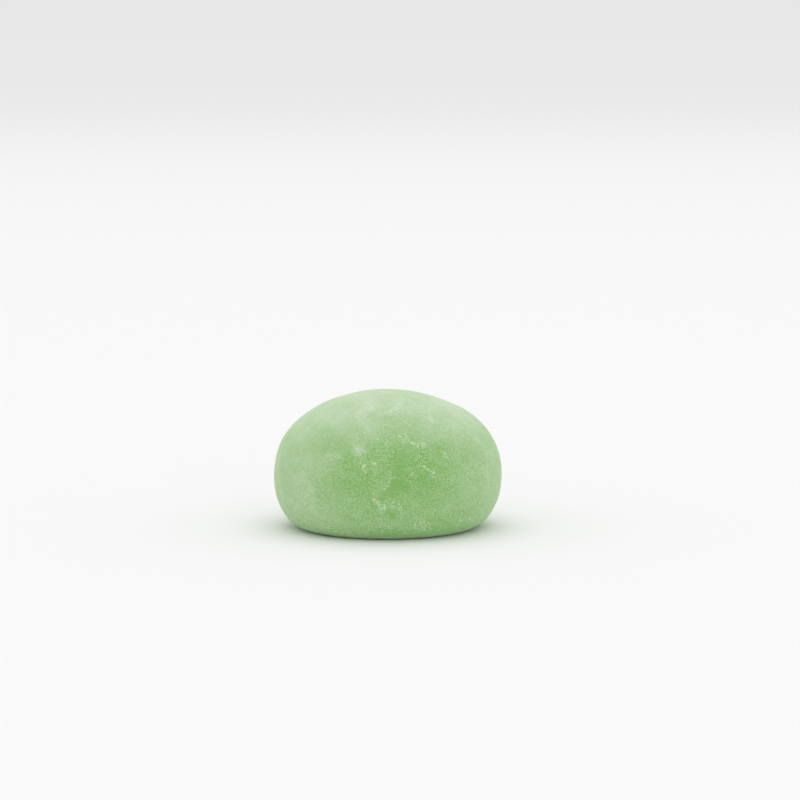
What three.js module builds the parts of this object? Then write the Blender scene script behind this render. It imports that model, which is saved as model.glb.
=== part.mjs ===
// A mochi: one ball of soft rice dough, pinched shut underneath and settled on its flat foot.
// Millimetres, +Z up. The origin is the middle of the flat underside.

import * as THREE from 'three';
import { mergeVertices } from 'three/addons/utils/BufferGeometryUtils.js';

// Driving dimensions, of the even form before the swells below
const WIDTH = 45; // left to right, across the belly
const DEPTH = 44.4; // front to back, a little less than round
const HEIGHT = 27;
const BELLY_HEIGHT = 11; // how high up the widest ring sits
const FOOT_WIDTH = 32; // the flat patch that the dough rests on

// How square each quarter of the side view is: 2 is an ellipse, more is fuller
const CROWN_FULLNESS = 2.09;
const FOOT_FULLNESS = 2.14;

// Where the hand left the dough fuller (a rise above 0) or flatter (below 0). Each swell is placed
// by degrees round from +X and degrees up from level, and has a reach in degrees and a rise.
const SWELLS = [
  { place: 'peak, left of the middle', around: 180, up: 81, reach: 12, rise: 0.21 },
  { place: 'left of the peak', around: 180, up: 63, reach: 9, rise: -0.2 },
  { place: 'left shoulder', around: 180, up: 33, reach: 9, rise: -0.1 },
  { place: 'left belly', around: 180, up: 6, reach: 9, rise: -0.25 },
  { place: 'lower left', around: 180, up: -33, reach: 13, rise: -0.3 },
  { place: 'right shoulder', around: 0, up: 50, reach: 11, rise: -0.12 },
  { place: 'above the right belly', around: 0, up: 28, reach: 9, rise: 0.25 },
  { place: 'right belly', around: 0, up: -7, reach: 10, rise: 0.25 },
  { place: 'lower right', around: 0, up: -36, reach: 13, rise: -0.1 },
  { place: 'front, palm mark', around: 262, up: 32, reach: 13, rise: -0.16 },
  { place: 'front left cheek', around: 232, up: 8, reach: 15, rise: 0.12 },
  { place: 'front right cheek', around: 306, up: 16, reach: 14, rise: 0.12 },
  { place: 'back left', around: 140, up: 30, reach: 16, rise: -0.2 },
  { place: 'back belly', around: 95, up: 12, reach: 18, rise: 0.18 },
  { place: 'back right, palm mark', around: 48, up: 40, reach: 14, rise: -0.18 },
];

// The swells fade out towards the foot, which stays flat: they are whole above this height
const FOOT_FADE_HEIGHT = 4;

// Cuts along each edge of the icosahedron that the even facets come from
const FACET_CUTS = 17;

const DOUGH_COLOUR = 0x96be80;
const DOUGH_ROUGHNESS = 0.88;

// A quarter of a superellipse, between two angles in degrees from the outward direction
class SuperellipseArc extends THREE.Curve {
  constructor(centre, radii, fullness, startAngle, endAngle) {
    super();
    this.centre = centre;
    this.radii = radii;
    this.power = 2 / fullness;
    this.startAngle = THREE.MathUtils.degToRad(startAngle);
    this.endAngle = THREE.MathUtils.degToRad(endAngle);
  }

  getPoint(t, target = new THREE.Vector2()) {
    const angle = THREE.MathUtils.lerp(this.startAngle, this.endAngle, t);
    const out = Math.abs(Math.cos(angle)) ** this.power;
    const up = Math.sign(angle) * Math.abs(Math.sin(angle)) ** this.power;
    return target.set(this.centre.x + this.radii.x * out, this.centre.y + this.radii.y * up);
  }
}

// Half of the side view, from the middle of the underside out to the belly and up to the crown
function sideView() {
  const belly = WIDTH / 2;
  const foot = FOOT_WIDTH / 2;
  const footCentre = new THREE.Vector2(foot, BELLY_HEIGHT);
  const footRadii = new THREE.Vector2(belly - foot, BELLY_HEIGHT);
  const crownCentre = new THREE.Vector2(0, BELLY_HEIGHT);
  const crownRadii = new THREE.Vector2(belly, HEIGHT - BELLY_HEIGHT);
  const view = new THREE.CurvePath();
  view.add(new THREE.LineCurve(new THREE.Vector2(0, 0), new THREE.Vector2(foot, 0)));
  view.add(new SuperellipseArc(footCentre, footRadii, FOOT_FULLNESS, -90, 0));
  view.add(new SuperellipseArc(crownCentre, crownRadii, CROWN_FULLNESS, 0, 90));
  return view;
}

// The unit direction of a swell, seen from the middle of the belly
function towards(swell) {
  const up = THREE.MathUtils.degToRad(swell.up);
  const around = THREE.MathUtils.degToRad(swell.around);
  const level = Math.cos(up);
  return new THREE.Vector3(level * Math.cos(around), level * Math.sin(around), Math.sin(up));
}

// The sum of all swells in one direction, in millimetres
function swellAlong(direction) {
  let rise = 0;
  for (const swell of SWELLS) {
    const away = THREE.MathUtils.radToDeg(direction.angleTo(towards(swell))) / swell.reach;
    rise += swell.rise * Math.exp(-0.5 * away * away);
  }
  return rise;
}

// A direction on the unit ball becomes a point on the settled dough: the way from the bottom pole
// to the top pole is spread evenly along the side view
function settle(direction, view) {
  const share = Math.acos(THREE.MathUtils.clamp(-direction.z, -1, 1)) / Math.PI;
  const side = view.getPoint(share);
  const around = Math.atan2(direction.y, direction.x);
  return new THREE.Vector3(
    side.x * Math.cos(around),
    side.x * Math.sin(around) * (DEPTH / WIDTH),
    side.y,
  );
}

function doughGeometry() {
  const ball = new THREE.IcosahedronGeometry(1, FACET_CUTS);
  ball.deleteAttribute('normal');
  ball.deleteAttribute('uv');
  const geometry = mergeVertices(ball);
  const vertices = geometry.getAttribute('position');
  const view = sideView();
  const middle = new THREE.Vector3(0, 0, BELLY_HEIGHT);
  const direction = new THREE.Vector3();
  for (let i = 0; i < vertices.count; i += 1) {
    direction.fromBufferAttribute(vertices, i).normalize();
    const point = settle(direction, view);
    const outward = point.clone().sub(middle).normalize();
    const grip = THREE.MathUtils.smoothstep(point.z, 0, FOOT_FADE_HEIGHT);
    point.addScaledVector(outward, swellAlong(outward) * grip);
    vertices.setXYZ(i, point.x, point.y, point.z);
  }
  geometry.computeBoundingBox();
  const centre = geometry.boundingBox.getCenter(new THREE.Vector3());
  geometry.translate(-centre.x, -centre.y, 0);
  geometry.computeVertexNormals();
  return geometry;
}

const dough = new THREE.MeshStandardMaterial({
  color: DOUGH_COLOUR,
  roughness: DOUGH_ROUGHNESS,
  metalness: 0,
});

const mochi = new THREE.Mesh(doughGeometry(), dough);
mochi.name = 'mochi';

const riceCake = new THREE.Group();
riceCake.add(mochi);

export default riceCake;
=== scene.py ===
# %% [markdown]
# # A green mochi, dusted with starch
#
# A mochi is a ball of soft rice dough. It is closed underneath by hand and rolled in white starch,
# so that it doesn't stick. Set down, it settles on a flat foot, bulges into a low belly and keeps a
# full, round crown.
#
# A CAD model already fixes its size and shape. This lesson makes what the eye knows a mochi by: a
# soft, slightly uneven skin, and the starch, which lies on it as a thin veil, in smudges where it
# was touched, and in loose grains.
#
# The CAD model is loaded first, as a frame that never moves. Blender works in metres here, in the
# same place as the CAD, so nothing has to be fitted by eye.

# %% Load the frame
import math
import random

import bpy
import numpy as np
from mathutils import Matrix, Vector, noise


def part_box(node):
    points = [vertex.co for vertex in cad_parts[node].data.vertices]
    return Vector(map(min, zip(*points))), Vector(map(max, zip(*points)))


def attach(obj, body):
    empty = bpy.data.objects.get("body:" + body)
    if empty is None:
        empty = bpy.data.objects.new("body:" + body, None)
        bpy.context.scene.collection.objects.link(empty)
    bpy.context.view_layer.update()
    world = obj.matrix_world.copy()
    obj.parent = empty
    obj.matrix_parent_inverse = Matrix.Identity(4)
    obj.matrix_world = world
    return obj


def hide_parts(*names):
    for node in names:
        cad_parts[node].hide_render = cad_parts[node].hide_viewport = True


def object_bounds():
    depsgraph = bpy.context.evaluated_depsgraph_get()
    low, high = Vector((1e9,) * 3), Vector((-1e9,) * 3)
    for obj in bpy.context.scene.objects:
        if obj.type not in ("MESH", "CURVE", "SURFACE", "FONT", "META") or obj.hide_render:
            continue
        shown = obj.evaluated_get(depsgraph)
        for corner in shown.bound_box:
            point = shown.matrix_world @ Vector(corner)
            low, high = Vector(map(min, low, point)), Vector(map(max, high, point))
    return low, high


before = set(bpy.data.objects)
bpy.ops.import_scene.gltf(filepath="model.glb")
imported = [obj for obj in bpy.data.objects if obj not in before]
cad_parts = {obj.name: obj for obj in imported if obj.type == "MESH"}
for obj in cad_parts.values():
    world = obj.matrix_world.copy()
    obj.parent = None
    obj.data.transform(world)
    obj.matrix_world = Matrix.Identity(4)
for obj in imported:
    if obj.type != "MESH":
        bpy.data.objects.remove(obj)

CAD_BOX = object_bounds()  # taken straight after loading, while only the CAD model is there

MM = 0.001

print("CAD box in mm:", [round(side / MM, 2) for side in CAD_BOX[1] - CAD_BOX[0]])

# %% [markdown]
# ## The camera
#
# A small sweet is looked at from well back with a long lens, which keeps its shape true. The camera
# stands 8 degrees above the table. The piece isn't in the middle of the picture, so the camera
# doesn't aim at it: it aims at the point that lies in the middle of the picture.

# %% The camera
PICTURE_SIDE = 800  # pixels; the picture is square
PIECE_PIXEL = (388.0, 460.8)  # where the piece's middle shows, from the picture's top left corner
PIECE_WIDTH_PIXELS = 228
PIECE_MIDDLE = Vector((0, 0, 13 * MM))
CAMERA_DISTANCE = 600 * MM
CAMERA_ELEVATION = math.radians(8)


def add_camera():
    """Places a camera so that the piece has its size and its place in the picture."""
    low, high = CAD_BOX
    metres_per_pixel = (high.x - low.x) / PIECE_WIDTH_PIXELS
    backwards = Vector((0, -math.cos(CAMERA_ELEVATION), math.sin(CAMERA_ELEVATION)))
    upwards = Vector((0, math.sin(CAMERA_ELEVATION), math.cos(CAMERA_ELEVATION)))
    place = PIECE_MIDDLE + backwards * CAMERA_DISTANCE
    right_of_piece = (PICTURE_SIDE / 2 - PIECE_PIXEL[0]) * metres_per_pixel
    above_piece = (PIECE_PIXEL[1] - PICTURE_SIDE / 2) * metres_per_pixel
    aim = PIECE_MIDDLE + Vector((right_of_piece, 0, 0)) + upwards * above_piece
    turn = (aim - place).to_track_quat("-Z", "Y").to_euler()
    bpy.ops.object.camera_add(location=place, rotation=turn)
    camera = bpy.context.object
    camera.name = "camera"
    camera.data.lens = camera.data.sensor_width * CAMERA_DISTANCE / (PICTURE_SIDE * metres_per_pixel)
    bpy.context.scene.camera = camera
    return camera


camera = add_camera()
print("lens in mm:", round(camera.data.lens, 1))

# %% [markdown]
# ## Nodes by code
#
# In Blender a material, the light of a room and a scatter of grains are all trees of nodes. By hand,
# nodes are added in an editor and their sockets are joined by dragging. A few helpers do it in code.

# %% Helpers for nodes
COLOUR_A, COLOUR_B, MIXED_COLOUR = 6, 7, 2  # the sockets of a Mix node that mixes colours


def feed(tree, node, inputs):
    """Gives each input of a node a value, or a link if a socket is given."""
    for name, value in inputs.items():
        if isinstance(value, bpy.types.NodeSocket):
            tree.links.new(value, node.inputs[name])
        else:
            node.inputs[name].default_value = value


def add_node(tree, kind, inputs=None, **settings):
    """Adds a node, sets its properties and feeds its inputs."""
    node = tree.nodes.new(kind)
    for name, value in settings.items():
        setattr(node, name, value)
    feed(tree, node, inputs or {})
    return node


def maths(tree, operation, *values, clamp=False):
    """One step of arithmetic on numbers or sockets."""
    inputs = dict(enumerate(values))
    return add_node(tree, "ShaderNodeMath", inputs, operation=operation, use_clamp=clamp).outputs[0]


def mix_colours(tree, factor, first, second):
    """The first colour where the factor is 0, the second where it is 1."""
    inputs = {"Factor": factor, COLOUR_A: first, COLOUR_B: second}
    return add_node(tree, "ShaderNodeMix", inputs, data_type="RGBA").outputs[MIXED_COLOUR]


def start_material(name):
    """A new material, with its tree and its Principled shader."""
    material = bpy.data.materials.new(name)
    material.use_nodes = True
    return material, material.node_tree, material.node_tree.nodes["Principled BSDF"]


# %% [markdown]
# ## Floor, room and softboxes
#
# Starch is white and the dough is pale, so the light has to be soft and come from all round. Here
# the whole room is white and does most of the work, brighter overhead than at the sides. A wide
# softbox above gives the light a direction, and a weak one in front opens the shadows.
#
# The floor runs on to the horizon. What the camera sees behind it is given the brightness that the
# far floor has, so the two meet without a line. The view transform is Standard, so that a white
# floor stays white and the green isn't greyed.

# %% Floor and room
FLOOR_RADIUS = 60
FLOOR_COLOUR = (0.9, 0.9, 0.9, 1)
ROOM_SIDES = (0.8, 0.8, 0.8, 1)
ROOM_OVERHEAD = (0.95, 0.95, 0.95, 1)
BACKDROP = (0.8, 0.8, 0.8, 1)  # as bright as the far floor


def add_floor():
    """A wide, plain, matt floor, level with the flat foot."""
    bpy.ops.mesh.primitive_circle_add(vertices=128, radius=FLOOR_RADIUS, fill_type="NGON")
    floor = bpy.context.object
    floor.name = "floor"
    paint, tree, shader = start_material("floor_paint")
    feed(tree, shader, {"Base Color": FLOOR_COLOUR, "Roughness": 0.9, "Specular IOR Level": 0.0})
    floor.data.materials.append(paint)


def light_room():
    """A white room: one brightness at the sides, another overhead, and an even backdrop."""
    world = bpy.data.worlds.new("white_room")
    world.use_nodes = True
    bpy.context.scene.world = world
    tree = world.node_tree
    direction = add_node(tree, "ShaderNodeTexCoord").outputs["Generated"]
    height = add_node(tree, "ShaderNodeSeparateXYZ", {0: direction}).outputs["Z"]
    room = mix_colours(tree, height, ROOM_SIDES, ROOM_OVERHEAD)
    seen = add_node(tree, "ShaderNodeLightPath").outputs["Is Camera Ray"]
    feed(tree, tree.nodes["Background"], {"Color": mix_colours(tree, seen, room, BACKDROP)})


add_floor()
light_room()
bpy.context.scene.view_settings.view_transform = "Standard"
print("view transform:", bpy.context.scene.view_settings.view_transform)

# %% Softboxes
SOFTBOXES = {
    # name: place in metres, side length in metres, watts
    "softbox_above": ((0, 0.5, 2.4), 2.4, 10),
    "softbox_front": ((0.4, -2.2, 1.0), 1.6, 5),
}


def add_softbox(name, place, side, watts):
    """A square light that faces the piece."""
    away = Vector(place) - PIECE_MIDDLE
    turn = away.to_track_quat("Z", "Y").to_euler()
    bpy.ops.object.light_add(type="AREA", location=place, rotation=turn)
    light = bpy.context.object
    light.name = name
    light.data.size = side
    light.data.energy = watts
    print(name, watts, "W")


for name, numbers in SOFTBOXES.items():
    add_softbox(name, *numbers)

# %% [markdown]
# ## The skin
#
# The skin is one closed surface with no seam, so it is made the way the dough is: as a ball that
# takes its shape from the form it sits in. A UV sphere would have poles, where its faces crowd
# together. A cube, cut finely and pulled to a ball, has only four-sided faces of about the same size.
# Shrinkwrap lays it on the CAD model. A Smooth modifier in between lets the faces spread out evenly,
# as stretched dough does. Subdivision Surface then makes it fine enough for relief of a few tenths of
# a millimetre.

# %% Helpers for objects and modifiers
def only(piece):
    """Selects one object and nothing else, as a click would."""
    bpy.ops.object.select_all(action="DESELECT")
    piece.select_set(True)
    bpy.context.view_layer.objects.active = piece


def edit_all(piece):
    """Enters edit mode with every vertex of the piece selected."""
    only(piece)
    bpy.ops.object.mode_set(mode="EDIT")
    bpy.ops.mesh.select_all(action="SELECT")


def leave_edit():
    bpy.ops.object.mode_set(mode="OBJECT")


def copy_mesh(name, piece):
    """A new object with a copy of the piece's mesh."""
    copy = bpy.data.objects.new(name, piece.data.copy())
    bpy.context.scene.collection.objects.link(copy)
    return copy


def apply_modifier(piece, kind, **settings):
    """Adds a modifier, sets it up and applies it."""
    only(piece)
    modifier = piece.modifiers.new(kind.lower(), kind)
    for name, value in settings.items():
        setattr(modifier, name, value)
    bpy.ops.object.modifier_apply(modifier=modifier.name)


# %% The form that the skin is laid on
SAME_POINT = 0.001 * MM  # corners of the CAD model's triangles that are nearer than this are one


def make_form():
    """A copy of the CAD node with its loose triangles joined, rounded once."""
    form = copy_mesh("form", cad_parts["mochi"])
    edit_all(form)
    bpy.ops.mesh.remove_doubles(threshold=SAME_POINT)
    leave_edit()
    apply_modifier(form, "SUBSURF", levels=1, render_levels=1)
    return form


form = make_form()
print("form:", len(form.data.polygons), "faces")

# %% The ball becomes the skin
CAGE_CUTS = 30  # cuts along each edge of the cube
SETTLING_ROUNDS = 4
SKIN_LEVELS = 2


def make_skin(form):
    """A cube cut finely, pulled to a ball, stretched to the CAD box and laid on the form."""
    low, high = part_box("mochi")
    bpy.ops.mesh.primitive_cube_add(size=high.x - low.x, calc_uvs=False)
    skin = bpy.context.object
    skin.name = "dough_skin"
    edit_all(skin)
    bpy.ops.mesh.subdivide(number_cuts=CAGE_CUTS)
    bpy.ops.transform.tosphere(value=1)
    leave_edit()
    skin.dimensions = high - low
    skin.location = (low + high) / 2
    bpy.ops.object.transform_apply(location=True, rotation=True, scale=True)
    for _ in range(SETTLING_ROUNDS):
        apply_modifier(skin, "SHRINKWRAP", target=form)
        apply_modifier(skin, "SMOOTH", factor=0.5, iterations=3)
    apply_modifier(skin, "SHRINKWRAP", target=form)
    apply_modifier(skin, "SUBSURF", levels=SKIN_LEVELS, render_levels=SKIN_LEVELS)
    return skin


skin = make_skin(form)
bpy.data.objects.remove(form)
print("skin:", len(skin.data.polygons), "faces")

# %% [markdown]
# ## Where the starch lies
#
# Most of the starch is a thin veil. It is thicker on top, drifts in soft clouds and ends in a ragged
# edge a little above the foot. Fingers did the rest: a floured one left smudges, a few short strokes
# with crumbly edges, and a dry one rubbed the dough bare.
#
# This could be painted on by hand, in Weight Paint mode, but then no number could change it. So each
# is worked out in plain arithmetic, as one value for every vertex, from 0, nothing, to 1, a closed
# white layer. The relief, the loose grains and the colour read the same values, so they agree. Soft
# random clouds make the values uneven.

# %% Places, directions and soft random clouds
SEED_STEP = (7.3, 3.1, 5.7)  # how far apart, in clouds, two seeds take their patterns from
FALL_OFF, FINER = 1.0, 2.0  # each octave of a cloud is twice as fine as the last, and half as strong


def vertex_rows(piece, what):
    """The places ("co") or the outward directions ("normal") of the vertices, one row each."""
    flat = np.empty(len(piece.data.vertices) * 3)
    piece.data.vertices.foreach_get(what, flat)
    return flat.reshape(-1, 3)


def clouds(places, size, octaves=3, seed=0):
    """A soft random pattern, from about -1 to 1, whose clouds are about size across."""
    shift = Vector([seed * step for step in SEED_STEP])
    spots = (Vector(place) / size + shift for place in places)
    return np.array([noise.fractal(spot, FALL_OFF, FINER, octaves) for spot in spots])


def cloud_layers(places, layers, first_seed):
    """Clouds of several sizes together, each by its strength."""
    seeded = enumerate(layers, first_seed)
    return sum(strength * clouds(places, size, seed=seed) for seed, (size, strength) in seeded)


def ramp(value, start, end):
    """0 up to start, 1 from end on, and smooth in between."""
    share = np.clip((value - start) / (end - start), 0, 1)
    return share * share * (3 - 2 * share)


places = vertex_rows(skin, "co")
heights = places[:, 2]
upward = vertex_rows(skin, "normal")[:, 2]  # 1 where the skin faces up, 0 where it stands upright
print("vertices:", len(places))

# %% [markdown]
# ### Strokes
#
# Every mark of a hand is built from strokes. A stroke is given on one side of the piece, as someone
# sees it who has walked round the table: 0 degrees is the front. It runs between two points, in
# millimetres to the right of the middle and above the foot, and has a width in millimetres and a
# strength. Its cover falls off to both sides, softly for a film and crisply for a smudge, and fades
# out where the skin turns away, so it never reaches the far side.
#
# A straight stroke looks drawn by a machine. So most are laid on places that have each been moved a
# little, by random clouds, which makes their edges wander.

# %% How strokes cover the skin
FRONT = 0  # degrees
TURNING_AWAY = 4 * MM  # a stroke fades out over this depth, in front of the piece's middle plane
SOFT, CRISP = 2, 3.5  # powers that a stroke's edge falls off by
WANDER = (1.3 * MM, 0.35 * MM)  # how far apart and how far the edges wander


def stroke_cover(places, side, start, end, width, crispness):
    """1 along the stroke, falling to 0 around one width away from it, softly or crisply."""
    turn = math.radians(side)
    right = (places[:, 0] * math.cos(turn) + places[:, 1] * math.sin(turn)) / MM
    nearer = places[:, 0] * math.sin(turn) - places[:, 1] * math.cos(turn)
    up = places[:, 2] / MM
    run = np.array(end) - np.array(start)
    along = ((right - start[0]) * run[0] + (up - start[1]) * run[1]) / (run @ run)
    along = np.clip(along, 0, 1)
    away = np.hypot(right - start[0] - along * run[0], up - start[1] - along * run[1])
    return np.exp(-((away / width) ** crispness)) * ramp(nearer, 0, TURNING_AWAY)


def stroke_sum(places, strokes, crispness):
    """All strokes together, each by its strength."""
    return sum(stroke[-1] * stroke_cover(places, *stroke[:-1], crispness) for stroke in strokes)


def on_front(strokes):
    """The strokes, each with its side: the front."""
    return [(FRONT, *stroke) for stroke in strokes]


size, reach = WANDER
moved = places + reach * np.stack([clouds(places, size, seed=seed) for seed in (4, 5, 6)], axis=1)
print("moved by up to %.2f mm" % (np.abs(moved - places).max() / MM))

# %% Finger marks on the front
FRONT_MARKS = [
    # start, end, width, strength; below 0, the stroke rubs starch off

    # Cloud left of the middle
    ((-6.6, 18.8), (-6.1, 18), 0.35, 0.3),
    ((-5.7, 17.7), (-5.1, 16.6), 0.45, 0.4),
    ((-4.9, 18), (-4.2, 17), 0.4, 0.38),
    ((-6.3, 20.3), (-6, 19.2), 0.25, 0.3),
    ((-5, 16.5), (-4.3, 16.1), 0.3, 0.36),
    ((-6, 16.9), (-5.7, 16.4), 0.3, 0.26),
    ((-3.9, 21), (-2.4, 19.8), 0.8, 0.22),
    # Hook below it
    ((-3.9, 15.7), (-4.7, 14.9), 0.3, 0.6),
    ((-4.7, 14.6), (-4.1, 13.8), 0.3, 0.56),
    ((-3.6, 13.7), (-3.2, 12.6), 0.4, 0.24),
    ((-3.4, 15.8), (-2.4, 15.5), 0.4, 0.34),
    ((-2.3, 15.4), (-2.1, 14.4), 0.5, 0.28),
    ((-3.4, 14.4), (-2.5, 13.9), 0.45, 0.32),
    ((-2.7, 16.7), (-2.3, 15.9), 0.4, 0.2),
    # Patches down the middle
    ((-1.1, 13.8), (0.4, 13.6), 0.8, 0.2),
    ((-1.9, 11.9), (-0.4, 11.9), 0.9, 0.22),
    ((0.6, 12.7), (0.3, 12.1), 0.35, 0.32),
    ((-0.2, 11.4), (-0.6, 10.7), 0.4, 0.28),
    ((-2.7, 10.7), (-1.2, 10.8), 0.6, 0.24),
    ((-2.1, 9.9), (-2.7, 10), 0.5, 0.28),
    ((-3.1, 9.6), (-2.8, 8.9), 0.5, 0.28),
    # Two low patches
    ((-2.7, 8.5), (-1.8, 7.9), 0.45, 0.34),
    ((-1.9, 7.9), (-1.2, 7.1), 0.5, 0.38),
    ((-0.6, 7.6), (-0.8, 6.8), 0.35, 0.46),
    ((-1.6, 6.9), (-1.1, 6.1), 0.45, 0.38),
    ((-0.2, 8.4), (0.5, 7.6), 0.35, 0.5),
    ((0.9, 8.6), (1.3, 7.4), 0.5, 0.32),
    ((2, 7.9), (2.7, 6.8), 0.7, 0.26),
    # Broken line on the upper right
    ((1.9, 20.4), (2.4, 20.1), 0.35, 0.5),
    ((3.4, 20.2), (3.7, 19.9), 0.3, 0.48),
    ((2.7, 19.6), (3.1, 19.2), 0.35, 0.48),
    ((3.9, 19.3), (4.6, 18.9), 0.3, 0.58),
    ((4.9, 18.9), (5.5, 18.7), 0.3, 0.5),
    ((6.3, 19.1), (6.9, 18.6), 0.35, 0.48),
    # Streak down to the right
    ((6, 15.1), (6.4, 14.9), 0.22, 0.42),
    ((6.8, 14.9), (7.1, 14.7), 0.28, 0.5),
    ((7.2, 14.6), (7.8, 14.2), 0.22, 0.42),
    ((8, 14), (8.8, 13.7), 0.5, 0.34),
    ((8.3, 13.5), (8.7, 13.4), 0.25, 0.4),
    ((8.4, 12.8), (8.8, 12.5), 0.28, 0.45),
    ((9.4, 13.2), (10, 13), 0.25, 0.28),
    ((4.4, 13.6), (5.2, 14), 0.18, 0.42),
    ((2.4, 12.9), (2.8, 13.1), 0.2, 0.38),
    ((0.8, 12.6), (1.2, 12.9), 0.22, 0.4),
    # Soft patches further out
    ((-12.4, 15.8), (-11.3, 16.5), 0.6, 0.22),
    ((-10.5, 16.5), (-8.2, 15.6), 1.1, 0.16),
    ((-16.4, 8.7), (-15, 9.3), 0.9, 0.26),
    ((-15.6, 7.4), (-13.6, 6.4), 1.3, 0.17),
    ((3, 3.5), (8.5, 3.3), 0.9, 0.15),
    ((7.9, 25.2), (8.6, 24.5), 0.35, 0.32),
    ((7.9, 24), (8.1, 23.6), 0.3, 0.3),
    ((8, 23), (8.6, 22.2), 0.4, 0.42),
    ((0.3, 24.6), (0.5, 24), 0.35, 0.32),
    ((-4, 25), (-2.6, 25.4), 0.5, 0.2),
    ((1.5, 24.9), (2.3, 25.3), 0.5, 0.24),
    ((17.1, 19.2), (17.4, 18.5), 0.4, 0.36),
    ((10.5, 17.2), (11.1, 16.3), 0.5, 0.32),
    # Rubbed bare
    ((-3.6, 19.2), (-2.7, 16.9), 0.9, -0.5),
    ((-4.6, 16.5), (-4.2, 15.9), 0.6, -0.5),
    ((1, 11.7), (3, 11.6), 0.8, -0.3),
    ((0.4, 10.3), (-1.2, 8.9), 0.8, -0.25),
    ((-8.2, 15.6), (-5.7, 13.9), 1.1, -0.3),
    ((2.3, 16.9), (4.9, 15.7), 1.4, -0.15),
    ((-0.4, 6.2), (0.8, 5.4), 0.7, -0.5),
    ((7, 11.9), (9.2, 11.4), 0.9, -0.3),
]
marks = on_front(FRONT_MARKS)
print("strokes on the front:", len(marks))

# %% [markdown]
# Marks aren't listed for every side of the sweet, so on the other sides a random draw puts down
# touches of the same kind. A touch is a wandering row of short strokes, weaker towards its ends, some
# with a thin film around them, and often it ends in a rubbed spot. One that might show from the front
# starts on the half that faces away, which leaves the front as it was set. Long, soft smears come on
# top. The draw has a seed, so every run makes the same sweet.

# %% Finger marks on the other sides
TOUCHES = 22
TOUCH_SEED = 11
NEAR_FRONT = 65  # degrees away from the back, where a touch begins to show from the front
STRONGEST_AT = 0.4  # of the way along a touch
WEAKENING = 1.25  # of the strength, over the whole way
FILM_CHANCE = 0.5
RUB_CHANCE = 0.6


def onward(x, z, length, heading):
    """The point that lies so far away in one direction."""
    return (x + length * math.cos(heading), z + length * math.sin(heading))


def draw_touch(dice):
    """The strokes and the films of one touch, on a side that isn't the front."""
    side = dice.uniform(80, 280)
    x, z = dice.uniform(-7, 7), dice.uniform(4, 22)
    if abs(side - 180) > NEAR_FRONT:
        x = abs(x) if side < 180 else -abs(x)
    heading = dice.uniform(0, math.tau)
    count = dice.randint(2, 7)
    strongest = dice.uniform(0.32, 0.66)
    strokes, films = [], []
    for number in range(count):
        heading += dice.gauss(0, 0.6)
        end = onward(x, z, dice.uniform(0.2, 1.4), heading)
        width = dice.uniform(0.2, 0.5)
        strength = strongest * (1 - WEAKENING * abs(number / count - STRONGEST_AT))
        strokes.append((side, (x, z), end, width, strength))
        if dice.random() < FILM_CHANCE:
            width, strength = dice.uniform(0.7, 1.8), dice.uniform(0.03, 0.09)
            films.append((side, (x, z), end, width, strength))
        x, z = onward(*end, dice.uniform(0.1, 0.9), heading)
        x, z = x + dice.gauss(0, 0.3), z + dice.gauss(0, 0.3)
    if dice.random() < RUB_CHANCE:
        end = (x + dice.gauss(0, 1.5), z + dice.gauss(0, 1.0))
        width, strength = dice.uniform(0.4, 0.9), dice.uniform(-0.5, -0.2)
        strokes.append((side, (x, z), end, width, strength))
    return strokes, films


# %% Smears, and all touches
SMEARS = 44


def draw_smear(dice):
    """A long, soft stroke that leaves a thin film, or takes some of it away."""
    side = dice.uniform(115, 245)
    x, z = dice.uniform(-12, 12), dice.uniform(6, 24)
    slope = dice.gauss(0.4, 0.7)
    end = onward(x, z, dice.uniform(1, 7), slope)
    width, strength = dice.uniform(0.6, 2.4), dice.uniform(-0.06, 0.11)
    return (side, (x, z), end, width, strength)


dice = random.Random(TOUCH_SEED)
smears = [draw_smear(dice) for _ in range(SMEARS)]
for _ in range(TOUCHES):
    strokes, films = draw_touch(dice)
    marks += strokes
    smears += films
print("strokes in all:", len(marks), "and", len(smears), "smears")

# %% [markdown]
# ### The lower edge, and the smudges
#
# The powder ends where the dough curves in under the belly, and the flat foot, which has lain in
# starch, is dusted again. An even line would look painted, so both edges wander, and a few strokes,
# this time of height, raise or lower the upper one. Crumbs have gathered along it, with gaps. They
# are smudges like those of the fingers, and are added to them.

# %% The lower edge
VEIL_ENDS = (0.9 * MM, 2.2 * MM)  # no veil below the first height, all of it above the second
RAGGED = (0.9 * MM, 1.5 * MM)  # how far apart and how far the edge goes up and down
RAISED_EDGE = [
    # side, start, end, width, how many millimetres higher the edge runs there
    (0, (-1.8, 2.2), (1, 2.2), 1.8, 1.2),
    (0, (-14, 2), (-4.8, 1.6), 1.2, -0.6),
    (0, (7.5, 2.2), (15, 2.4), 2, 0.9),
    (0, (-18, 3), (-16.5, 2.4), 1.6, 0.6),
    (80, (2, 2), (7, 2.2), 2.2, 0.9),
    (135, (-4, 2), (0, 2.2), 2, 0.7),
    (190, (1, 2), (7, 2), 2.4, 0.9),
    (260, (-3, 2), (2, 2), 2, 0.8),
]
UNDERNEATH = (0.1 * MM, 0.8 * MM)  # the dusted foot: all below the first height, none above the second
UNDERNEATH_RAGGED = (1.6 * MM, 0.5 * MM)  # how far apart and how far its edge goes up and down


def ragged_heights(size, reach, seed):
    """The heights, moved up and down a little, so that an edge at one height comes out ragged."""
    return heights + reach * clouds(places, size, octaves=4, seed=seed)


ragged = ragged_heights(*RAGGED, seed=3) - stroke_sum(places, RAISED_EDGE, SOFT) * MM
above_foot = ramp(ragged, *VEIL_ENDS)
underneath = 1 - ramp(ragged_heights(*UNDERNEATH_RAGGED, seed=13), *UNDERNEATH)
below_edge = (1 - above_foot) * (1 - underneath)
print("below the edge: %.1f%% of the vertices" % (100 * below_edge.mean()))

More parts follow.
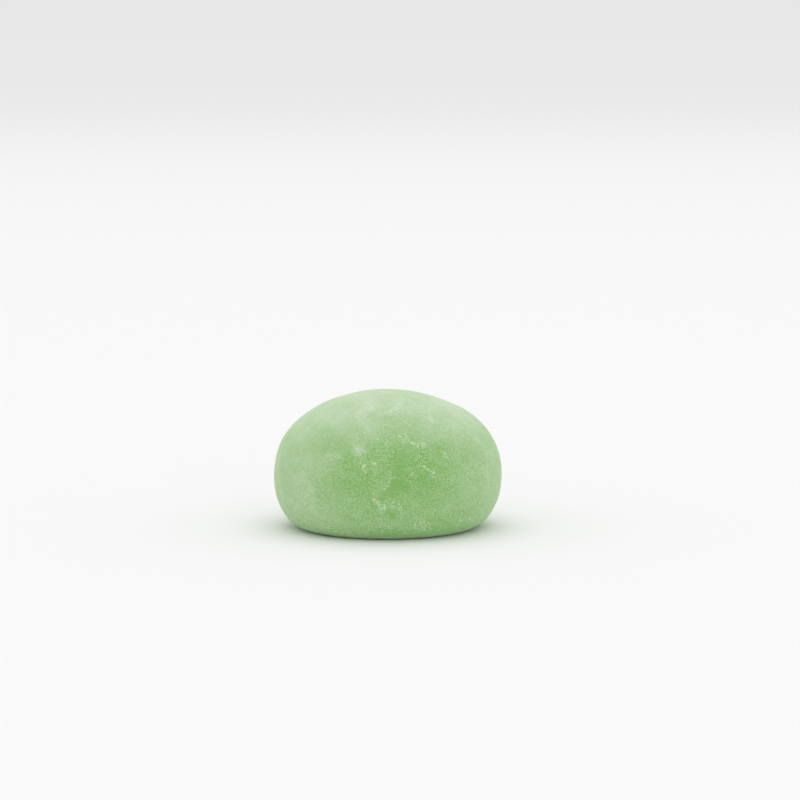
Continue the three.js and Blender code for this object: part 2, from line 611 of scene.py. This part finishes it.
# %% The smudges
CRUMBLY_EDGE = (1.3 * MM, 2.4 * MM, 5.0 * MM)  # heights where the edge's crumbs start, are most, end
CRUMBLY_STRENGTH = 0.32
CRUMBLY_GAPS = (4 * MM, 0.3)  # how far apart, and how soft the gaps' ends are

start, full, end = CRUMBLY_EDGE
crumbly = CRUMBLY_STRENGTH * ramp(ragged, start, full) * (1 - ramp(ragged, full, end))
size, softness = CRUMBLY_GAPS
crumbly *= ramp(clouds(places, size, seed=10), -softness, softness)
smudges = stroke_sum(moved, marks, CRISP) + crumbly
print("smudges: most %.2f" % smudges.max())

# %% [markdown]
# ### The veil
#
# Starch falls from above, so the veil is thickest where the skin faces up. Clouds of two sizes make
# it uneven, and on the sides it is torn into patches, as powder is when the dough under it stretches.
# Drifts are soft strokes where it lies thicker or, below 0, thinner. They are listed for the front,
# and the drawn smears do the same elsewhere.

# %% Drifts of starch on the front
FRONT_DRIFTS = [
    # start, end, width, strength

    # Left cheek
    ((-17, 9.5), (-14, 15), 5.5, 0.13),
    ((-18.5, 17.5), (-17, 11), 2.5, 0.05),
    ((-12.5, 13.6), (-7, 14.4), 1.2, 0.04),
    ((-16.5, 6.8), (-13, 4.4), 1.8, 0.05),
    ((-17, 19.2), (-15.6, 15.4), 1.5, 0.05),
    ((-19.8, 17.2), (-20.2, 14.6), 1, 0.05),
    ((-15.8, 20.2), (-15, 19.6), 1, 0.05),
    ((-16.2, 13), (-14.6, 10.4), 1.2, 0.04),
    ((-10.8, 11.9), (-8.2, 10.8), 1.1, 0.03),
    ((-18, 6.2), (-15.4, 4), 1.2, 0.06),
    ((-13, 8.6), (-9, 7.6), 1, -0.02),
    # Right cheek
    ((13, 8), (15, 13), 4, 0.05),
    ((13.9, 21.6), (15.5, 18), 2, 0.02),
    ((19.8, 15), (19.8, 8.5), 1.5, 0.05),
    ((12, 7.4), (17, 9.6), 1.6, 0.03),
    ((8, 21.4), (13, 17.6), 2, 0.04),
    ((14, 20), (17, 15.8), 2.2, 0.03),
    ((7.4, 16.4), (8.6, 15.4), 1.2, -0.04),
    # Crown, on the left
    ((-12, 23), (-6, 24.5), 2.2, 0.06),
    ((-8, 21.4), (-2.2, 21.8), 1.3, 0.06),
    ((-5.6, 23.7), (-3.4, 25.1), 0.6, 0.08),
    ((-3.4, 25.1), (-1, 25.4), 0.5, 0.08),
    ((-1, 24.6), (-3.6, 24.7), 0.8, 0.05),
    ((-8.6, 23.4), (-5.6, 23.9), 0.7, 0.05),
    ((-4.6, 24.8), (-4.2, 20.2), 1.7, 0.09),
    ((-9.4, 21.6), (-7.4, 21.2), 1.2, 0.05),
    ((-9, 21.4), (-6.6, 18.8), 1.4, 0.06),
    ((-3.8, 21.2), (-2.6, 20.2), 0.9, 0.04),
    # Crown, on the right
    ((4, 25), (9, 24), 2, 0.02),
    ((11, 24.2), (15.5, 21), 1.8, 0.02),
    ((7.4, 25.2), (9.2, 24.8), 1, 0.04),
    ((-0.4, 25.6), (3.2, 26.3), 0.5, 0.02),
    ((-0.9, 25), (0, 24.7), 0.4, -0.07),
    ((-2, 23.6), (0.8, 24.7), 0.35, 0.09),
    ((1, 24.7), (2.8, 25.5), 0.4, 0.06),
    ((4.2, 25.2), (6.6, 24.8), 0.4, 0.06),
    ((8, 23.8), (8.3, 22.6), 0.6, 0.05),
    ((-1, 22.6), (1.6, 22.8), 0.8, -0.07),
    # Round the cloud and the hook
    ((-6.5, 20), (-5.8, 17.8), 0.8, 0.06),
    ((-5.5, 17.8), (-4.7, 16.8), 1, 0.11),
    ((-12.6, 15.6), (-8.2, 17.4), 0.9, 0.05),
    ((-2.9, 15.2), (-2.2, 13.4), 0.9, 0.05),
    ((-4.4, 15.4), (-3.4, 12.8), 1, -0.04),
    ((-5, 13.5), (-3, 12), 1.2, -0.04),
    # Middle
    ((-2, 11.7), (0, 11.4), 1.1, 0.04),
    ((2, 12), (4, 10.6), 1, 0.02),
    ((4, 19.5), (4.5, 12.5), 2.5, -0.03),
    # Low on the belly
    ((-12, 6), (12, 6), 2.2, 0.05),
    ((-1.8, 7.6), (-1.2, 6.4), 0.7, 0.07),
    ((-10.6, 4.3), (-8.2, 4.1), 0.8, 0.09),
    ((8, 3), (14, 5), 1.6, -0.08),
]
drifts = on_front(FRONT_DRIFTS) + smears
print("drifts and smears:", len(drifts))

# %% The veil, vertex by vertex
VEIL = 0.02  # everywhere
VEIL_ON_TOP = 0.28  # more of it where the skin faces up
VEIL_IN_SMUDGES = 0.14
VEIL_CLOUDS = ((8 * MM, 0.06), (2.5 * MM, 0.05))  # size, strength
CLOUDS_ON_SIDES, CLOUDS_ON_TOP = 0.6, 1.4  # times their strength
PATCHES = (2.2 * MM, 0.06)  # size, strength
PATCHES_TORN = (-0.1, 0.15)  # of their clouds: where a patch begins, and where it is whole
FOOT_VEIL = 0.16
FOOT_CLOUDS = ((3 * MM, 0.12),)  # size, strength

# How far up the skin faces where each of these begins, and where it is complete
THICKENING = (0.42, 1.0)
CLOUDS_GROWING = (0.2, 0.8)
PATCHES_FADING = (0.2, 0.7)


def veil_above_foot():
    """How thick the veil is, before it ends at its lower edge."""
    amount = VEIL + VEIL_ON_TOP * ramp(upward, *THICKENING)
    growth = (CLOUDS_ON_TOP - CLOUDS_ON_SIDES) * ramp(upward, *CLOUDS_GROWING)
    amount += (CLOUDS_ON_SIDES + growth) * cloud_layers(places, VEIL_CLOUDS, first_seed=1)
    size, strength = PATCHES
    torn = ramp(clouds(moved, size, octaves=4, seed=9), *PATCHES_TORN)
    amount += strength * torn * (1 - ramp(upward, *PATCHES_FADING))
    return amount + stroke_sum(moved, drifts, SOFT) + VEIL_IN_SMUDGES * smudges


veil = veil_above_foot() * above_foot
veil += underneath * (FOOT_VEIL + cloud_layers(places, FOOT_CLOUDS, first_seed=8))
print("veil: mean %.2f, most %.2f" % (veil.mean(), veil.max()))

# %% [markdown]
# ### Bare spots
#
# The specks in the veil don't lie evenly either: here a palm left a smooth stretch, there they lie
# close. Bareness is the share of them that is missing. It is uneven in clouds of two sizes, set by
# soft strokes on the front, and less wherever there is a smudge.

# %% Bare spots
BARE_EVERYWHERE = 0.15
BARE_BELOW = 0.3  # more below the veil's edge
MOST_BARE = 0.58  # even where a finger rubbed, some specks stay
BARE_CLOUDS = ((6 * MM, 0.35), (1.6 * MM, 0.25))  # size, strength
FRONT_BARENESS = [
    # start, end, width, strength

    # Smooth stretches
    ((-16, 20), (-9, 23), 4.5, 0.5),
    ((-18.5, 16), (-17.5, 11), 3, 0.5),
    ((2.8, 15.6), (6, 14.2), 2.3, 0.15),
    ((12.5, 6.5), (16, 8), 3, 0.3),
    # Speckled stretches
    ((-2.8, 20), (-2.2, 16), 2, -0.45),
    ((0, 19.6), (6, 18.6), 2.8, -0.4),
    ((-16.5, 6.8), (-12, 5), 2.8, -0.5),
    ((-3, 3.6), (9, 3.6), 1.6, -0.5),
    ((13, 12.5), (16.5, 12), 1.6, -0.4),
    ((10, 13), (14, 9), 3, -0.25),
    ((6, 3.8), (12, 3.4), 1.6, -0.4),
    ((-5, 17), (-3.8, 14.4), 1.4, -0.4),
    ((1, 8), (3.4, 6.6), 1.4, -0.4),
    ((4, 23.5), (9, 23.5), 2, -0.3),
]

bare = BARE_EVERYWHERE + stroke_sum(places, on_front(FRONT_BARENESS), SOFT) - smudges
bare += cloud_layers(places, BARE_CLOUDS, first_seed=11)
bare = np.clip(bare + BARE_BELOW * below_edge, 0, MOST_BARE) - underneath
print("bare: mean %.2f" % np.clip(bare, 0, 1).mean())

# %% [markdown]
# ### Wiped spots
#
# Where a palm slid over the powder, it drew the grain out into fine lines. The grain is a pattern of
# the material, laid on places in space. Places pressed together along one direction make the pattern
# longer in it, so each vertex keeps a second place, for the grain alone: its own, pressed together
# along the wipes that cover it.

# %% Wiped spots
FRONT_WIPES = [
    # start, end, width, strength
    ((-11.2, 15), (-8, 13.1), 2.6, 0.75),
    ((-1.2, 16.2), (2.4, 17.8), 2, 0.65),
    ((4.6, 16.3), (8, 15.2), 1.8, 0.6),
    ((2.4, 11.6), (6, 13.4), 1.8, 0.6),
    ((9.5, 12.6), (12.5, 12), 2, 0.5),
    ((14, 14.4), (18, 14.8), 1.8, 0.5),
    ((-16.5, 6.9), (-12.5, 6), 2, 0.6),
    ((0.1, 9.4), (0.2, 5.6), 1.8, 0.5),
    ((-8.5, 22.6), (-4, 24.2), 2.4, 0.6),
    ((0, 24), (4, 25.4), 2.2, 0.6),
    ((-14.2, 20.2), (-11.4, 22.4), 2.6, 0.5),
    ((11.2, 20.6), (14.6, 17.9), 2.6, 0.5),
    ((-5.6, 19.5), (-4.8, 15), 1.3, 0.5),
]
DRAWN_WIPES = 30
WIPE_LENGTH = 3  # mm
WIPE_SEED = 6


def draw_wipe(dice):
    """A spot that was wiped, on a side that isn't the front."""
    x, z = dice.uniform(-10, 10), dice.uniform(5, 23)
    end = onward(x, z, WIPE_LENGTH, dice.gauss(0.1, 0.5))
    side = dice.uniform(85, 275)
    width, strength = dice.uniform(1.4, 2.8), dice.uniform(0.25, 0.5)
    return (side, (x, z), end, width, strength)


def pressed_along(places, wipes):
    """The places, pressed together along every wipe, which draws out a pattern laid on them."""
    covers = [stroke_cover(places, *wipe[:-1], SOFT) for wipe in wipes]
    share = 1 / np.maximum(sum(covers), 1)  # where wipes cross, each has only its share
    pressed = places.copy()
    for (side, start, end, _, strength), cover in zip(wipes, covers):
        turn = math.radians(side)
        start, end = (np.array([x * math.cos(turn), x * math.sin(turn), z]) for x, z in (start, end))
        along = (end - start) / np.linalg.norm(end - start)
        reach = (places - (start + end) / 2 * MM) @ along
        pressed -= np.outer(strength * share * cover * reach, along)
    return pressed


dice = random.Random(WIPE_SEED)
wipes = on_front(FRONT_WIPES) + [draw_wipe(dice) for _ in range(DRAWN_WIPES)]
grain_place = skin.data.attributes.new("grain_place", "FLOAT_VECTOR", "POINT")
grain_place.data.foreach_set("vector", pressed_along(places, wipes).ravel())
print("wiped spots:", len(wipes))

# %% Keep the values on the skin
def store(piece, name, values):
    """Keeps one number for each vertex: as an attribute for materials, as a group for modifiers."""
    layer = piece.data.attributes.new(name, "FLOAT", "POINT")
    layer.data.foreach_set("value", values)
    group = piece.vertex_groups.new(name=name)
    for index, value in enumerate(values):
        group.add([index], float(value), "REPLACE")


store(skin, "smudge", np.clip(smudges, 0, 1))
store(skin, "veil", np.clip(veil, 0, 1))
store(skin, "bare", np.clip(bare, 0, 1))
store(skin, "below_edge", below_edge)
print("kept on the skin:", skin.vertex_groups.keys())

# %% [markdown]
# ## Relief
#
# Fingers leave dough slightly wavy, and its skin is a little pebbly close up. Both are Displace
# modifiers with a cloud texture. The flat foot carries the weight, so it stays flat: a vertex group
# fades the relief out towards it. A few shallow dents, where a fingertip held the piece, are strokes
# again, this time of depth. The starch then stands on the dough by its own thickness.

# %% Waves and pebbles
HAND_MARKS = (6 * MM, 0.26 * MM)  # how far apart, how high
PEBBLES = (1.1 * MM, 0.04 * MM)
FOOT_FADE = (0.2 * MM, 2.5 * MM)  # no relief below the first height, all of it above the second


def displace_with_clouds(piece, name, size, height, group):
    """Moves the skin in and out by a soft random pattern."""
    texture = bpy.data.textures.new(name, "CLOUDS")
    texture.noise_scale = size
    texture.noise_depth = 2
    settings = {"texture": texture, "texture_coords": "LOCAL", "vertex_group": group}
    apply_modifier(piece, "DISPLACE", strength=height, mid_level=0.5, **settings)


free = ramp(heights, *FOOT_FADE)
store(skin, "free", free)
displace_with_clouds(skin, "hand_marks", *HAND_MARKS, "free")
displace_with_clouds(skin, "pebbles", *PEBBLES, "free")
print("lowest point in mm:", round(vertex_rows(skin, "co")[:, 2].min() / MM, 4))

# %% Dents, and the starch's own thickness
DENT_DEPTH = 0.3 * MM
DENTS = [
    # side, start, end, width, share of the depth
    (0, (-1, 23), (1.8, 22), 1.9, 0.9),
    (0, (-3.4, 18.9), (-3, 17.2), 1, 0.4),
    (0, (2, 10.8), (-0.6, 9.2), 1, 0.4),
    (0, (-13, 12), (-12, 9), 2.4, 0.4),
    (75, (-3, 19), (1, 20), 2.2, 0.8),
    (110, (2, 10), (4, 13), 2, 0.5),
    (160, (-4, 21.5), (-1, 22.5), 2.4, 0.8),
    (200, (3, 12), (1, 9), 1.8, 0.6),
    (255, (-2, 20.5), (2, 19), 2.4, 0.8),
    (290, (-3, 10), (-1, 7.5), 2, 0.5),
]
STARCH_THICKNESS = 0.08 * MM  # of a full smudge
VEIL_SHARE = 0.3  # of that thickness, for a full veil

store(skin, "dent", np.clip(stroke_sum(places, DENTS, SOFT), 0, 1) * free)
apply_modifier(skin, "DISPLACE", strength=-DENT_DEPTH, mid_level=0.0, vertex_group="dent")
store(skin, "layer", np.clip(VEIL_SHARE * veil + np.clip(smudges, 0, 1), 0, 1) * free)
apply_modifier(skin, "DISPLACE", strength=STARCH_THICKNESS, mid_level=0.0, vertex_group="layer")
skin.data.shade_smooth()
print("highest point in mm:", round(vertex_rows(skin, "co")[:, 2].max() / MM, 4))

# %% [markdown]
# ## Loose grains
#
# Starch also lies on the dough as loose grains, from dust that is barely seen to the odd fleck of a
# few tenths of a millimetre. They could be particles, but those aren't mesh, and get lost when the
# model is exported. So one small uneven lump is modelled for each kind. Geometry Nodes scatters
# copies of it over the skin, turned at random and half sunk in, and joins them into one mesh: dust
# everywhere, and grains mostly where a finger left a smudge.

# %% One lump of each kind
def roughen(name, flatness, unevenness):
    """Names the round lump that was just added, and makes it flat and uneven."""
    lump = bpy.context.object
    lump.name = name
    edit_all(lump)
    bpy.ops.transform.vertex_random(offset=unevenness, seed=4)
    bpy.ops.transform.resize(value=(1, 1, flatness))
    leave_edit()
    lump.data.shade_smooth()
    return lump


def make_speck():
    """Dust: an eight-sided speck."""
    bpy.ops.mesh.primitive_uv_sphere_add(segments=4, ring_count=2, radius=1, calc_uvs=False)
    return roughen("speck", flatness=0.7, unevenness=0.2)


def make_grain(name, subdivisions, flatness, unevenness):
    """A lump with 20 faces, or 80 with one more subdivision."""
    bpy.ops.mesh.primitive_ico_sphere_add(subdivisions=subdivisions, radius=1, calc_uvs=False)
    return roughen(name, flatness, unevenness)


# %% The scatter, as geometry nodes
def scatter_tree(lump, everywhere, on_smudges, radius, seed):
    """Puts copies of the lump on a mesh: so many per square metre, and more on the smudges."""
    tree = bpy.data.node_groups.new("scatter_" + lump.name, "GeometryNodeTree")
    for in_out in ("INPUT", "OUTPUT"):
        tree.interface.new_socket("Geometry", in_out=in_out, socket_type="NodeSocketGeometry")

    def named(attribute):
        return add_node(tree, "GeometryNodeInputNamedAttribute", {"Name": attribute}).outputs["Attribute"]

    def random_value(inputs, kind):
        return add_node(tree, "FunctionNodeRandomValue", inputs, data_type=kind).outputs

    ground = add_node(tree, "NodeGroupInput").outputs["Geometry"]
    thinly = maths(tree, "MULTIPLY", maths(tree, "SUBTRACT", 1.0, named("bare")), everywhere)
    density = maths(tree, "MULTIPLY_ADD", named("smudge"), on_smudges, thinly)
    where = {"Mesh": ground, "Density": density, "Seed": seed}
    points = add_node(tree, "GeometryNodeDistributePointsOnFaces", where).outputs
    spin = random_value({"Max": (0, 0, math.tau), "Seed": seed}, "FLOAT_VECTOR")["Value"]
    turns = {"Rotation": points["Rotation"], "Rotate By": spin}
    turned = add_node(tree, "FunctionNodeRotateRotation", turns, rotation_space="LOCAL").outputs[0]
    smallest, largest = radius
    size = random_value({2: smallest, 3: largest, "Seed": seed + 1}, "FLOAT")[1]
    copied = add_node(tree, "GeometryNodeObjectInfo", {"Object": lump}).outputs["Geometry"]
    how = {"Points": points["Points"], "Instance": copied, "Rotation": turned, "Scale": size}
    copies = add_node(tree, "GeometryNodeInstanceOnPoints", how).outputs["Instances"]
    joined = add_node(tree, "GeometryNodeRealizeInstances", {"Geometry": copies}).outputs["Geometry"]
    add_node(tree, "NodeGroupOutput", {"Geometry": joined})
    return tree


def scatter(name, lump, **how):
    """Copies of the lump all over the skin, as one mesh of its own."""
    grains = copy_mesh(name, skin)
    apply_modifier(grains, "NODES", node_group=scatter_tree(lump, **how))
    bpy.data.objects.remove(lump)
    print(name + ":", len(grains.data.polygons), "faces")
    return grains


# %% Scatter dust and grains
PER_SQUARE_MM = 1 / MM**2

dust = scatter(
    "starch_dust",
    make_speck(),
    everywhere=2.4 * PER_SQUARE_MM,
    on_smudges=4 * PER_SQUARE_MM,
    radius=(0.02 * MM, 0.045 * MM),
    seed=5,
)
grains = scatter(
    "starch_grains",
    make_grain("grain", subdivisions=1, flatness=0.6, unevenness=0.25),
    everywhere=0.02 * PER_SQUARE_MM,
    on_smudges=1.5 * PER_SQUARE_MM,
    radius=(0.04 * MM, 0.09 * MM),
    seed=8,
)

# %% [markdown]
# Some flecks are big enough to be seen one by one, alone or in a row where a stroke left off. Each is
# a copy of one larger lump, laid on the skin where a line from outside meets it. On the front they
# are listed one by one, and elsewhere they are drawn.

# %% Rows of flecks
FRONT_ROWS = [
    # start, end, how many, radius in mm
    ((6.8, 14.9), (7.1, 14.7), 4, 0.11),  # the streak down to the right
    ((6.1, 15.1), (6.3, 14.9), 2, 0.08),
    ((7.3, 14.5), (7.8, 14.3), 3, 0.08),
    ((8.1, 13.9), (8.8, 13.7), 2, 0.07),
    ((8.4, 13.5), (8.6, 12.6), 4, 0.08),
    ((3.3, 20.1), (3.6, 19.9), 3, 0.09),  # the broken line on the upper right
    ((2.7, 19.7), (3, 19.4), 2, 0.08),
    ((2, 20.3), (2.3, 20.1), 2, 0.08),
    ((3.9, 19.3), (5.3, 18.8), 5, 0.08),
    ((6.6, 19), (6.8, 18.7), 3, 0.08),
    ((-4, 15.6), (-4.7, 14.9), 4, 0.09),  # the hook
    ((-4.7, 14.4), (-4.2, 13.8), 3, 0.08),
    ((-0.6, 7.7), (-0.8, 6.8), 3, 0.09),  # the low patches
    ((-2.6, 7.5), (-2.3, 6.7), 2, 0.08),
    ((0.8, 12.6), (1.2, 12.9), 2, 0.08),  # the middle
    ((4.4, 13.6), (5.1, 13.9), 3, 0.07),
    ((6.1, 16.7), (6.3, 16.5), 2, 0.2),  # a pair on its own
]
FRONT_FLECKS = {
    # place: radius in mm
    (-3.1, 11.3): 0.12,
    (-5.3, 12.4): 0.1,
    (5.3, 12.8): 0.12,
    (1.4, 10): 0.09,
    (-7.8, 14.9): 0.08,
    (-1.9, 21.2): 0.1,
    (5.3, 9.5): 0.08,
    (14.5, 10.4): 0.09,
    (18.5, 15.1): 0.1,
    (-12.3, 15.2): 0.09,
}
DRAWN_ROWS = 30
DRAWN_GAP = 0.25  # mm from fleck to fleck
FLECK_SEED = 3


def draw_row(dice):
    """A row of flecks, or a single one, on a side that isn't the front."""
    side = dice.uniform(95, 265)
    x, z = dice.uniform(-12, 12), dice.uniform(5, 21)
    count = dice.choice((1, 1, 2, 3, 4, 6))
    end = onward(x, z, DRAWN_GAP * (count - 1), dice.uniform(0, math.tau))
    radius = dice.uniform(0.07, 0.13)
    return (side, (x, z), end, count, radius)


dice = random.Random(FLECK_SEED)
fleck_rows = on_front(FRONT_ROWS)
fleck_rows += on_front((place, place, 1, radius) for place, radius in FRONT_FLECKS.items())
fleck_rows += [draw_row(dice) for _ in range(DRAWN_ROWS)]
print("rows of flecks:", len(fleck_rows))

# %% Flecks on the skin
OUTSIDE = -100  # mm; where the line that finds a fleck's place starts, well in front of the skin
NARROWNESS = 0.7
OFF_THE_ROW = 0.1  # mm that a fleck strays from its row
FLECK_SIZES = (0.6, 1.1)  # times the row's radius


def lay_fleck(lump, side, x, z, radius, turn):
    """Lays a copy of the lump on one side of the skin; all sizes in millimetres."""
    walk_round = Matrix.Rotation(math.radians(side), 3, "Z")
    start = walk_round @ Vector((x, OUTSIDE, z)) * MM
    _, place, outward, _ = skin.ray_cast(start, walk_round @ Vector((0, 1, 0)))
    fleck = copy_mesh("fleck", lump)
    fleck.location = place
    fleck.rotation_euler = outward.to_track_quat("Z", "Y").to_euler()
    fleck.rotation_euler.rotate_axis("Z", turn)
    fleck.scale = Vector((radius, NARROWNESS * radius, radius)) * MM
    return fleck


def set_flecks(dice):
    """Lays the rows of flecks and joins them into one piece."""
    lump = make_grain("fleck", subdivisions=2, flatness=0.45, unevenness=0.3)
    copies = []
    for side, start, end, count, radius in fleck_rows:
        spread = OFF_THE_ROW if count > 1 else 0
        for number in range(count):
            share = number / max(count - 1, 1)
            x = start[0] + share * (end[0] - start[0]) + dice.gauss(0, spread)
            z = start[1] + share * (end[1] - start[1]) + dice.gauss(0, spread)
            size = radius * dice.uniform(*FLECK_SIZES)
            copies.append(lay_fleck(lump, side, x, z, size, dice.uniform(0, math.tau)))
    bpy.data.objects.remove(lump)
    only(copies[0])
    for fleck in copies:
        fleck.select_set(True)
    bpy.ops.object.join()
    bpy.ops.object.transform_apply(location=True, rotation=True, scale=True)
    copies[0].name = "starch_flecks"
    return copies[0]


flecks = set_flecks(dice)
print("flecks:", len(flecks.data.polygons), "faces")

# %% [markdown]
# ## Finishes
#
# Starch is a powder. Close up, an even veil is a film with fine specks in it, and a smudge is broken
# up into crumbs that lie in clumps. A picture of powder, wrapped round the dough, would show its
# seams, so noise patterns laid on places in space do it. Dough and grains both use this effect, so it
# is a node group, built once. It gives the film and the grains, each as a cover from 0 to 1, and a
# height for the bump.

# %% The powder group
CRUMB_SIZE = 0.28 * MM
CLUMP_SIZE = 0.5 * MM
DUST_SIZE = 0.15 * MM
MIDDLING = 0.5  # what a noise pattern is on average
SPECKS = (0.42, 0.62, 0.29)  # of the crumbs' pattern: where specks begin, and are full; their cover
ROOM_TAKEN = 1.5  # how fast a thicker veil buries the specks
CRUMBLED, CLUMPED = 1.5, 1.9  # how strongly the two patterns break a smudge up
SMUDGES = (0.28, 0.9, 0.32)  # of a broken smudge: where it begins, and is full; its cover
DUST_HEIGHT = 0.25


def powder_group():
    """Breaks soft amounts of starch up into specks, crumbs and fine dust."""
    tree = bpy.data.node_groups.new("powder", "ShaderNodeTree")
    for name in ("Veil", "Smudge", "Bare"):
        tree.interface.new_socket(name, in_out="INPUT", socket_type="NodeSocketFloat")
    tree.interface.new_socket("Place", in_out="INPUT", socket_type="NodeSocketVector")
    for name in ("Film", "Grains", "Height"):
        tree.interface.new_socket(name, in_out="OUTPUT", socket_type="NodeSocketFloat")
    given = add_node(tree, "NodeGroupInput").outputs

    def soft_step(value, start, end, most):
        inputs = {"Value": value, "From Min": start, "From Max": end, "To Max": most}
        return add_node(tree, "ShaderNodeMapRange", inputs, interpolation_type="SMOOTHSTEP").outputs[0]

    def texture(size, detail, roughness=0.6, distortion=0.0):
        inputs = {"Vector": given["Place"], "Scale": 1 / size, "Detail": detail}
        inputs.update({"Roughness": roughness, "Distortion": distortion})
        return add_node(tree, "ShaderNodeTexNoise", inputs).outputs["Fac"]

    def unevenness(pattern, strength):
        return maths(tree, "MULTIPLY", maths(tree, "SUBTRACT", pattern, MIDDLING), strength)

    crumbs = texture(CRUMB_SIZE, detail=3, roughness=0.75, distortion=0.2)
    clumps = texture(CLUMP_SIZE, detail=1)
    fine_dust = texture(DUST_SIZE, detail=1)

    # Specks lie wherever the veil leaves room and no finger rubbed them off
    buried = maths(tree, "MULTIPLY", given["Veil"], ROOM_TAKEN)
    room_left = maths(tree, "SUBTRACT", 1.0, buried, clamp=True)
    not_bare = maths(tree, "SUBTRACT", 1.0, given["Bare"], clamp=True)
    specks = maths(tree, "MULTIPLY", soft_step(crumbs, *SPECKS), room_left)
    specks = maths(tree, "MULTIPLY", specks, not_bare)

    # A smudge is broken up into crumbs, and the crumbs lie in clumps
    broken = maths(tree, "ADD", unevenness(crumbs, CRUMBLED), unevenness(clumps, CLUMPED))
    smudge = soft_step(maths(tree, "ADD", given["Smudge"], broken), *SMUDGES)
    grains = maths(tree, "ADD", specks, smudge, clamp=True)

    # The film is the veil, a little uneven
    around_one = maths(tree, "MULTIPLY", crumbs, 1 / MIDDLING)
    film = maths(tree, "MULTIPLY", given["Veil"], around_one, clamp=True)
    dust_height = maths(tree, "MULTIPLY", fine_dust, DUST_HEIGHT)
    height = maths(tree, "ADD", maths(tree, "ADD", film, grains), dust_height)
    add_node(tree, "NodeGroupOutput", {"Film": film, "Grains": grains, "Height": height})
    return tree


powder = powder_group()
print("powder:", len(powder.nodes), "nodes")

# %% [markdown]
# The dough is green all through. Below the veil's edge it is painted a deeper green, to take back the
# pale haze that the sheen lays on the low edge. Grains that stick to it are stained by it, and the
# film over them is nearly white. So the colour is mixed in that order, as the layers lie: dough,
# grains, film. Rice dough lets a little light in, which a weak subsurface gives. Fine powder catches
# light that grazes it, which makes the outline paler: that is what sheen is for.

# %% The dough's finish
DOUGH_GREEN = (0.170, 0.435, 0.050, 1)
# painted: a deeper green, which takes back the sheen's pale haze below the veil's edge
DOUGH_DEEP_AGAINST_SHEEN = (0.125, 0.430, 0.012, 1)  # below the veil's edge
GRAIN_WHITE = (0.81, 0.92, 0.66, 1)  # stained by the dough
FILM_WHITE = (0.86, 0.89, 0.815, 1)


def dusted_dough():
    """Green dough, soft and slightly see-through, under its starch."""
    material, tree, shader = start_material("dusted_dough")

    def stored(name):
        return add_node(tree, "ShaderNodeAttribute", attribute_name=name).outputs

    inputs = {"Place": stored("grain_place")["Vector"]}
    inputs.update({name: stored(name.lower())["Fac"] for name in ("Veil", "Smudge", "Bare")})
    starch = add_node(tree, "ShaderNodeGroup", inputs, node_tree=powder).outputs
    # below the veil's edge the green is painted deeper, against the sheen's pale haze
    colour = mix_colours(tree, stored("below_edge")["Fac"], DOUGH_GREEN, DOUGH_DEEP_AGAINST_SHEEN)
    colour = mix_colours(tree, starch["Grains"], colour, GRAIN_WHITE)
    colour = mix_colours(tree, starch["Film"], colour, FILM_WHITE)
    cover = maths(tree, "ADD", starch["Film"], starch["Grains"])
    dull = add_node(tree, "ShaderNodeMapRange", {"Value": cover, "To Min": 0.7, "To Max": 0.95})
    grainy = {"Height": starch["Height"], "Strength": 0.5, "Distance": 0.03 * MM}
    feed(tree, shader, {
        "Base Color": colour,
        "Roughness": dull.outputs["Result"],
        "Normal": add_node(tree, "ShaderNodeBump", grainy).outputs["Normal"],
        "Diffuse Roughness": 0.6,
        "Specular IOR Level": 0.2,
        "Subsurface Weight": 0.2,
        "Subsurface Radius": (0.8, 1.2, 0.5),
        "Subsurface Scale": 1.0 * MM,
        "Sheen Weight": 0.43,
        "Sheen Roughness": 0.75,
        "Sheen Tint": (1, 1, 1, 1),
    })
    return material


skin.data.materials.clear()
skin.data.materials.append(dusted_dough())
print("nodes in the dough's finish:", len(skin.data.materials[0].node_tree.nodes))

# %% [markdown]
# A loose grain is starch all through, so no dough shows. The powder group, with a middling veil and
# smudge, only shades it: painted shade, tinted by the green that the dough would reflect, makes it
# darker and greener in the hollows of its pattern.

# %% The grains' finish
# painted shade for the low parts of the powder pattern, and painted light for its tops
GRAIN_PAINTED_SHADE = (0.52, 0.72, 0.38, 1)
GRAIN_PAINTED_LIT = (0.85, 0.93, 0.76, 1)


def loose_starch():
    """White starch, with painted shade, darker and greener, in the hollows of its pattern."""
    material, tree, shader = start_material("loose_starch")
    place = add_node(tree, "ShaderNodeTexCoord").outputs["Object"]
    inputs = {"Veil": 0.5, "Smudge": 0.5, "Place": place}
    starch = add_node(tree, "ShaderNodeGroup", inputs, node_tree=powder).outputs
    # painted shade: darker and greener where the powder pattern is low, starch white where it is high
    colour = mix_colours(tree, starch["Height"], GRAIN_PAINTED_SHADE, GRAIN_PAINTED_LIT)
    feed(tree, shader, {"Base Color": colour, "Roughness": 0.95, "Specular IOR Level": 0.2})
    return material


LOOSE_STARCH = (dust, grains, flecks)
starch_finish = loose_starch()
for piece in LOOSE_STARCH:
    piece.data.materials.clear()
    piece.data.materials.append(starch_finish)
    print("finish of", piece.name + ":", starch_finish.name)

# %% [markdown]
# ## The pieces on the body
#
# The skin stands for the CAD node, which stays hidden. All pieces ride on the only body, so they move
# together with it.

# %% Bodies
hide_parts("mochi")
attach(skin, "root")
for piece in LOOSE_STARCH:
    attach(piece, "root")
